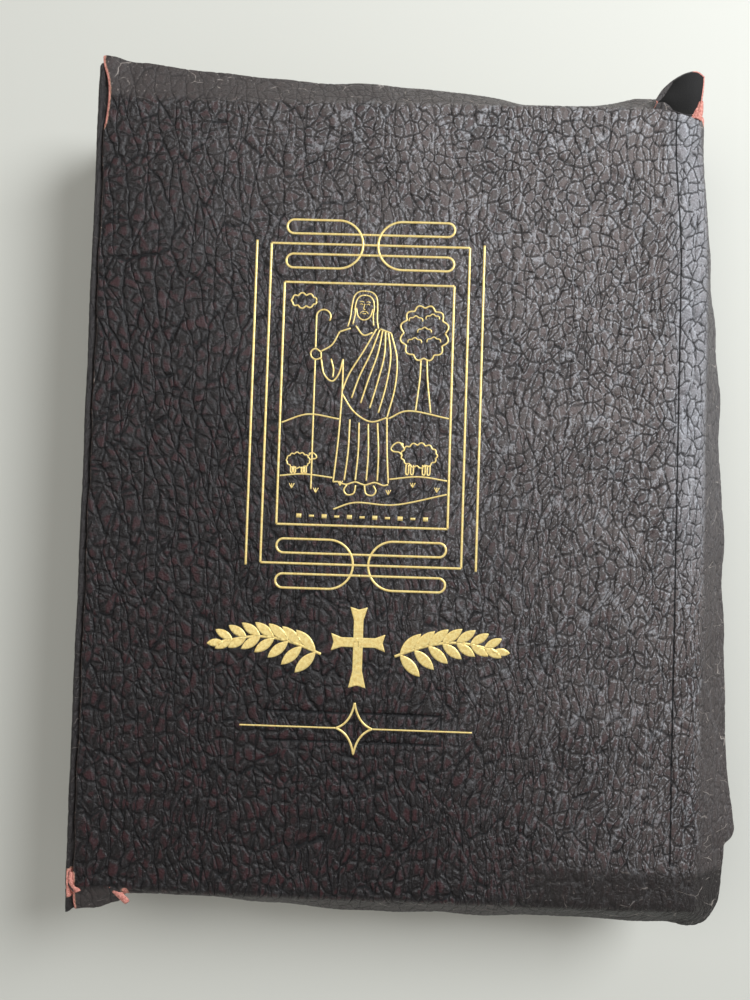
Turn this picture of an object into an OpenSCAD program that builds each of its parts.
// Large family Bible in a limp leather binding with yapp edges, closed and lying on its back cover.
// +Z is up, the spine is on the -X side, the fore-edge on the +X side, the head towards +Y.
// The origin is the centre of the back cover's outer face.

/* [Cover] */
// Width of a cover panel, from the spine joint to the fold of the fore-edge flap
panel_w = 216; // [190:1:230]
// Height of a cover panel, from the fold of the tail flap to the fold of the head flap
panel_h = 279; // [250:1:300]
// Thickness of the closed book over both covers
book_t = 45; // [40:0.5:60]
// Radius of a panel's two fore-edge corners
corner_r = 5; // [3:0.5:8]
// Thickness of the grained outer leather
leather_t = 1.2; // [1:0.1:1.4]
// Thickness of the flexible board, and of the leather turned in around it
board_t = 1.0; // [0.8:0.1:1.2]
// Thickness of the black lining inside each cover
lining_t = 0.5; // [0.4:0.1:0.6]
// Width of the turned-in leather on the panel, round the board
turn_in_w = 14; // [10:1:20]

/* [Yapp edges] */
// Angle by which a flap bends away from its panel
flap_angle = 55; // [45:1:65]
// Outer radius of the bend between panel and flap
fold_r = 6; // [5:0.5:8]
// Straight length of a flap past its bend
flap_l = 12; // [8:0.5:13]

/* [Text block] */
// Width of a sewn section, from its fold to the fore-edge
section_w = 211; // [200:1:212]
// Height of the text block
block_h = 270; // [240:1:276]
// Number of sewn sections in each half of the text block
half_sections = 10; // [6:1:10]
// Thickness of a free leaf, which stands for two or three real leaves
leaf_t = 0.3; // [0.2:0.05:0.3]
// Clear space between pieces that turn apart
gap = 0.3; // [0.3:0.05:0.4]

/* [Spine] */
// Radius of the rounded spine, to the leather's outer face
spine_r = 135; // [120:5:200]
// How far the spine stands out past the panel's edge at mid-thickness
spine_out = 3.2; // [3:0.1:4]
// Thickness of the cloth and paper glued over the sewing
spine_lining_t = 0.6; // [0.4:0.1:0.7]
// Width and thickness of a sewing tape
tape_w = 14; // [10:1:18]
tape_t = 0.4; // [0.3:0.05:0.5]
// Distance between the sewing tapes
tape_pitch = 68; // [50:1:80]
// Radius of a headband's core
headband_r = 1.3; // [1:0.1:1.4]

/* [Gold tooling] */
// Thickness of the gold foil
foil_t = 0.08; // [0.05:0.01:0.1]
// Width of a gold line
line_w = 1.0; // [0.6:0.1:1.4]
// Centre line of the tooling, from the spine edge of the panel
art_u = 98; // [95:1:102]

/* [Hidden] */
mid_z = book_t / 2;
cover_t = leather_t + board_t + lining_t;
spine_edge_x = -panel_w / 2;
fore_edge_x = panel_w / 2;
// Hinge line of each cover: halfway through its thickness, along the panel's spine edge
hinge_depth = cover_t / 2;
bead_r = hinge_depth - 0.1;
lining_start_x = spine_edge_x + bead_r + 0.05;
// The flap's reach past the panel sets how far the spine leather stands past head and tail
flap_reach = fold_r * sin(flap_angle) + flap_l * cos(flap_angle);
spine_h = panel_h + 2 * flap_reach;
// Spine: one cylinder for the leather, the lining, the tapes and the backs of the sections
spine_out_x = spine_edge_x - spine_out;
spine_axis_x = spine_out_x + spine_r;
spine_top_z = book_t - cover_t - 0.5;
lining_r = spine_r - leather_t;
tape_r = lining_r - spine_lining_t;
block_r = tape_r - tape_t - 0.05;
split = gap / 2;
// Stack of the back half, counted from the cover's inner face; the front half is its mirror image
leaf_z = cover_t + gap;
half_z0 = leaf_z + leaf_t + gap;
half_z1 = mid_z - split - leaf_t - gap;
section_t = (half_z1 - half_z0) / half_sections;
leaf_w = section_w - 3;
leaf_h = block_h - 1;
bend_steps = 6;
arc_steps = 10;

function spine_x(z) = spine_axis_x - sqrt(block_r * block_r - (z - mid_z) * (z - mid_z));

section_names = [for (i = [1 : 2 * half_sections]) str("section_", i < 10 ? "0" : "", i)];

// ---- Frame helpers ----

// Draws a back-half shape as its twin in the front half
module to_front() { translate([0, 0, book_t]) mirror([0, 0, 1]) children(); }

// A profile in X and Z, drawn out along Y about the middle of the book
module along_y(length) { rotate([90, 0, 0]) linear_extrude(length, center = true) children(); }

// ---- Covers: every layer is one profile, carried round the fore-edge, head and tail ----

// Point of a layer on the bend, at depth d below the outer face and angle a round the fold
function bend_point(d, a) = [(fold_r - d) * sin(a), fold_r - (fold_r - d) * cos(a)];

// One face of a layer: in from the fold by lap, round the bend and out along the flap
function layer_face(d, lap) = concat(
    [[-lap, d]],
    [for (i = [0 : bend_steps]) bend_point(d, flap_angle * i / bend_steps)],
    [bend_point(d, flap_angle) + flap_l * [cos(flap_angle), sin(flap_angle)]]);

function reversed(p) = [for (i = [len(p) - 1 : -1 : 0]) p[i]];

module layer_profile(d0, d1, lap) {
    polygon(concat(layer_face(d0, lap), reversed(layer_face(d1, lap))));
}

// A cover layer between depths d0 and d1, from start_x to the ends of the flaps
module cover_layer(d0, d1, start_x) {
    straight_h = panel_h - 2 * corner_r;
    straight_w = fore_edge_x - corner_r - start_x;
    translate([fore_edge_x, 0, 0]) along_y(straight_h) layer_profile(d0, d1, fore_edge_x - start_x);
    for (side = [0, 1]) mirror([0, side, 0]) {
        translate([start_x, panel_h / 2, 0])
            rotate([90, 0, 90]) linear_extrude(straight_w) layer_profile(d0, d1, corner_r);
        translate([fore_edge_x - corner_r, straight_h / 2, 0])
            rotate_extrude(angle = 90, $fn = 48)
                translate([corner_r, 0]) layer_profile(d0, d1, corner_r);
    }
}

module board_box(margin) {
    w = panel_w - turn_in_w - (lining_start_x - spine_edge_x);
    translate([lining_start_x - margin, -panel_h / 2 + turn_in_w, leather_t - margin])
        cube([w + margin, panel_h - 2 * turn_in_w, board_t + 2 * margin]);
}

// Outer leather: panel, three flaps, and the round bead that it turns on at the joint
module cover_leather() {
    cover_layer(0, leather_t, spine_edge_x);
    translate([spine_edge_x, 0, hinge_depth])
        rotate([90, 0, 0]) cylinder(h = panel_h, r = bead_r, center = true, $fn = 32);
}

module cover_board() { board_box(0); }

// Leather turned in behind the flaps and up to the board on three sides
module cover_turn_ins() {
    difference() {
        cover_layer(leather_t, leather_t + board_t, lining_start_x);
        board_box(0);
        translate([lining_start_x - 1, -panel_h / 2 + turn_in_w, leather_t - 1])
            cube([2, panel_h - 2 * turn_in_w, board_t + 2]);
    }
}

module cover_lining() { cover_layer(leather_t + board_t, cover_t, lining_start_x); }

module back_cover_leather() { color([0.13, 0.10, 0.10]) cover_leather(); }
module back_cover_board() { color([0.62, 0.52, 0.40]) cover_board(); }
module back_cover_turn_ins() { color([0.45, 0.22, 0.20]) cover_turn_ins(); }
module back_cover_lining() { color([0.05, 0.05, 0.05]) cover_lining(); }
module front_cover_leather() { color([0.13, 0.10, 0.10]) to_front() cover_leather(); }
module front_cover_board() { color([0.62, 0.52, 0.40]) to_front() cover_board(); }
module front_cover_turn_ins() { color([0.45, 0.22, 0.20]) to_front() cover_turn_ins(); }
module front_cover_lining() { color([0.05, 0.05, 0.05]) to_front() cover_lining(); }

// ---- Spine ----

// Back half of a curved shell between two radii about the spine's centre line
module spine_shell(r_in, r_out, z0, height) {
    intersection() {
        translate([spine_axis_x, 0, mid_z]) rotate([90, 0, 0]) difference() {
            cylinder(h = height, r = r_out, center = true, $fn = 180);
            cylinder(h = height + 2, r = r_in, center = true, $fn = 180);
        }
        translate([spine_out_x - 1, -height / 2 - 1, z0])
            cube([12, height + 2, mid_z - split - z0]);
    }
}

spine_z0 = book_t - spine_top_z;
module spine_leather() { spine_shell(lining_r, spine_r, spine_z0, spine_h); }
module spine_lining() { spine_shell(tape_r, lining_r, half_z0, block_h); }
module sewing_tapes() {
    for (i = [-1 : 1]) translate([0, i * tape_pitch, 0])
        spine_shell(tape_r - tape_t, tape_r, half_z0, tape_w);
}

// Back half of a headband: a cloth-covered cord on the block's head edge, against the spine
module headband() {
    x = spine_x(half_z0) + headband_r + 0.2;
    translate([x, block_h / 2 + headband_r + 0.05, half_z0])
        cylinder(h = mid_z - split - half_z0, r = headband_r, $fn = 24);
}

module back_spine_leather() { color([0.13, 0.10, 0.10]) spine_leather(); }
module front_spine_leather() { color([0.13, 0.10, 0.10]) to_front() spine_leather(); }
module back_spine_lining() { color([0.82, 0.78, 0.68]) spine_lining(); }
module front_spine_lining() { color([0.82, 0.78, 0.68]) to_front() spine_lining(); }
module back_sewing_tapes() { color([0.88, 0.85, 0.76]) sewing_tapes(); }
module front_sewing_tapes() { color([0.88, 0.85, 0.76]) to_front() sewing_tapes(); }
module head_band_back() { color([0.75, 0.62, 0.30]) headband(); }
module head_band_front() { color([0.75, 0.62, 0.30]) to_front() headband(); }
module tail_band_back() { color([0.75, 0.62, 0.30]) mirror([0, 1, 0]) headband(); }
module tail_band_front() { color([0.75, 0.62, 0.30]) to_front() mirror([0, 1, 0]) headband(); }

// ---- Text block ----

// Section i of the back half, counted from the back cover towards the middle
module sewn_section(i) {
    z0 = half_z0 + i * section_t;
    z1 = z0 + section_t;
    along_y(block_h) polygon([
        [spine_x(z0), z0], [spine_x(z0) + section_w, z0],
        [spine_x(z1) + section_w, z1], [spine_x(z1), z1]]);
}

// Sections are numbered as they are read: 1 lies under the front cover
module section(n) {
    color([0.93, 0.90, 0.82])
        if (n <= half_sections) to_front() sewn_section(n - 1);
        else sewn_section(2 * half_sections - n);
}

module free_leaf(z) {
    translate([spine_x(half_z0) + 3, -leaf_h / 2, z]) cube([leaf_w, leaf_h, leaf_t]);
}

module back_flyleaf() { color([0.90, 0.87, 0.78]) free_leaf(leaf_z); }
module front_flyleaf() { color([0.90, 0.87, 0.78]) to_front() free_leaf(leaf_z); }
module centre_leaf_back() { color([0.93, 0.90, 0.82]) free_leaf(mid_z - split - leaf_t); }
module centre_leaf_front() { color([0.93, 0.90, 0.82]) to_front() free_leaf(mid_z - split - leaf_t); }

// ---- Gold tooling, in u from the panel's spine edge and v down from its head edge ----

frame_w = 71.4;
frame_v = [49.8, 164.4];
picture_w = 61;
picture_v = [63.8, 150.6];
side_rule_w = 81.7;
// The loops at head and tail of the frame: outer radius, step to the inner line, gap to the axis, reach
loop_r = 8.7;
loop_step = 5;
loop_gap = 2.7;
loop_reach = 27.6;
star_v = 221.8;
rule_w = 82;
title_v = 194.6;
// Axis and crown-to-chin middle of the figure's head, the length of its robe, and its crook's distance
figure_u = art_u - 1.1;
figure_v = 71.3;
robe_l = 64;
crook_u = 16.4;
// The row of small lozenges along the picture's foot: pitch, width, and height over the picture's border
dash_pitch = 6;
dash_w = 1.8;
dash_v = 3.2;

// Puts art drawn in (u, v) on the front cover's leather
module on_cover() {
    translate([spine_edge_x, panel_h / 2, book_t]) mirror([0, 1, 0]) linear_extrude(foil_t) children();
}

function normal_at(p, i) = let (a = p[max(i - 1, 0)], b = p[min(i + 1, len(p) - 1)], d = b - a)
    [-d[1], d[0]] / norm(d);
function offset_path(p, d) = [for (i = [0 : len(p) - 1]) p[i] + d * normal_at(p, i)];
function arc(c, r, a0, a1) = [for (i = [0 : arc_steps])
    c + r * [cos(a0 + (a1 - a0) * i / arc_steps), sin(a0 + (a1 - a0) * i / arc_steps)]];

// An open line of constant width along a path
module stroke(p, w = line_w) {
    polygon(concat(offset_path(p, w / 2), reversed(offset_path(p, -w / 2))));
}

// A rectangular line: centre line width w between v[0] and v[1]
module rectangle_rule(w, v) {
    difference() {
        translate([art_u - (w + line_w) / 2, v[0] - line_w / 2]) square([w + line_w, v[1] - v[0] + line_w]);
        translate([art_u - (w - line_w) / 2, v[0] + line_w / 2]) square([w - line_w, v[1] - v[0] - line_w]);
    }
}

// One open loop of the interlace: a half-round towards the middle, with its two arms drawn outwards
module interlace_loop(v) {
    centre = [art_u - loop_gap - loop_r, v];
    tip = art_u - loop_reach;
    for (r = [loop_r, loop_r - loop_step])
        stroke(concat([[tip, v - r]], arc(centre, r, -90, 90), [[tip, v + r]]));
}

module foil_frame() {
    color("goldenrod") on_cover() {
        rectangle_rule(frame_w, frame_v);
        for (side = [-1, 1])
            translate([art_u + side * side_rule_w / 2 - line_w / 2, frame_v[0]])
                square([line_w, frame_v[1] - frame_v[0]]);
        for (v = frame_v) {
            interlace_loop(v);
            translate([2 * art_u, 0]) mirror([1, 0]) interlace_loop(v);
        }
    }
}

// A tree: a trunk and a crown of scallops
module tree(u, v, side) {
    stroke([[u, v + 20], [u + side * 1.5, v + 8], [u + side * 0.5, v + 2]]);
    for (i = [0 : 2]) stroke(arc([u + side * (i * 5 - 4), v - abs(i - 1) * 2], 3.2, 150, 390), 0.7);
}

// A sheep: a round body with a small head held low
module sheep(u, v, side) {
    stroke(arc([u, v], 4.2, 10, 350), 0.8);
    translate([u + side * 5.8, v - 1.5]) circle(r = 1.5, $fn = 24);
    for (x = [-2, 2]) translate([u + x - 0.3, v + 4]) square([0.6, 3.4]);
}

// The standing shepherd: head, robe with its folds, and the crook
module shepherd(u, v) {
    translate([u, v]) circle(r = 3.4, $fn = 32);
    stroke([[u - 3, v + 5], [u - 7, v + 14], [u - 9.5, v + robe_l]]);
    stroke([[u + 3, v + 5], [u + 7, v + 14], [u + 9.5, v + robe_l]]);
    stroke([[u - 9, v + robe_l + 1], [u, v + robe_l + 2.5], [u + 9, v + robe_l + 1]]);
    for (x = [-3.5, 0, 3.5]) stroke([[u + x * 0.6, v + 12], [u + x, v + robe_l - 2]], 0.6);
    staff = [[u - crook_u, v + robe_l], [u - crook_u + 0.5, v + 6]];
    stroke(concat(staff, arc([u - crook_u + 3.8, v + 2], 3.3, 180, 380)));
}

module foil_picture() {
    color("goldenrod") on_cover() {
        rectangle_rule(picture_w, picture_v);
        shepherd(figure_u, figure_v);
        tree(art_u + 21, picture_v[0] + 22, -1);
        sheep(art_u - 25, picture_v[1] - 22, 1);
        sheep(art_u + 20, picture_v[1] - 25, -1);
        for (i = [-4 : 4])
            translate([art_u + i * dash_pitch, picture_v[1] - dash_v]) rotate(45) square(dash_w, center = true);
    }
}

// A leaf of the spray, pointed at both ends
module leaf(u, v, angle, l) {
    translate([u, v]) rotate(angle)
        polygon(l * [[0, 0], [0.3, -0.17], [0.7, -0.14], [1, 0], [0.7, 0.14], [0.3, 0.17]]);
}

// Ornament under the picture: a cross between two leafy sprays
module foil_ornament() {
    arm = 13;
    color("goldenrod") on_cover() {
        translate([art_u - 2.2, title_v - 15]) square([4.4, 30]);
        translate([art_u - 9, title_v - 8]) square([18, 4.4]);
        for (side = [-1, 1]) {
            translate([art_u + side * 29 - 17, title_v - 0.6]) square([34, 1.2]);
            for (i = [0 : 5], up = [-1, 1])
                leaf(art_u + side * (15 + i * 5.4), title_v + up * 1.2, side > 0 ? up * 48 : 180 - up * 48, arm);
        }
    }
}

// Rule broken by a four-pointed star with hollow sides
module foil_star_rule() {
    half_h = 9;
    half_w = 6.5;
    waist = 1.5;
    color("goldenrod") on_cover() {
        for (side = [-1, 1])
            translate([art_u + side * (rule_w / 4 + 5) - (rule_w / 2 - 10) / 2, star_v - line_w / 2])
                square([rule_w / 2 - 10, line_w]);
        translate([art_u, star_v]) polygon([
            [0, -half_h], [waist, -waist], [half_w, 0], [waist, waist],
            [0, half_h], [-waist, waist], [-half_w, 0], [-waist, -waist]]);
    }
}

front_cover_leather();
front_cover_board();
front_cover_turn_ins();
front_cover_lining();
foil_frame();
foil_picture();
foil_ornament();
foil_star_rule();
back_cover_leather();
back_cover_board();
back_cover_turn_ins();
back_cover_lining();
front_spine_leather();
back_spine_leather();
front_spine_lining();
back_spine_lining();
front_sewing_tapes();
back_sewing_tapes();
head_band_front();
head_band_back();
tail_band_front();
tail_band_back();
front_flyleaf();
back_flyleaf();
centre_leaf_front();
centre_leaf_back();
for (n = [1 : 2 * half_sections])
    section(n);
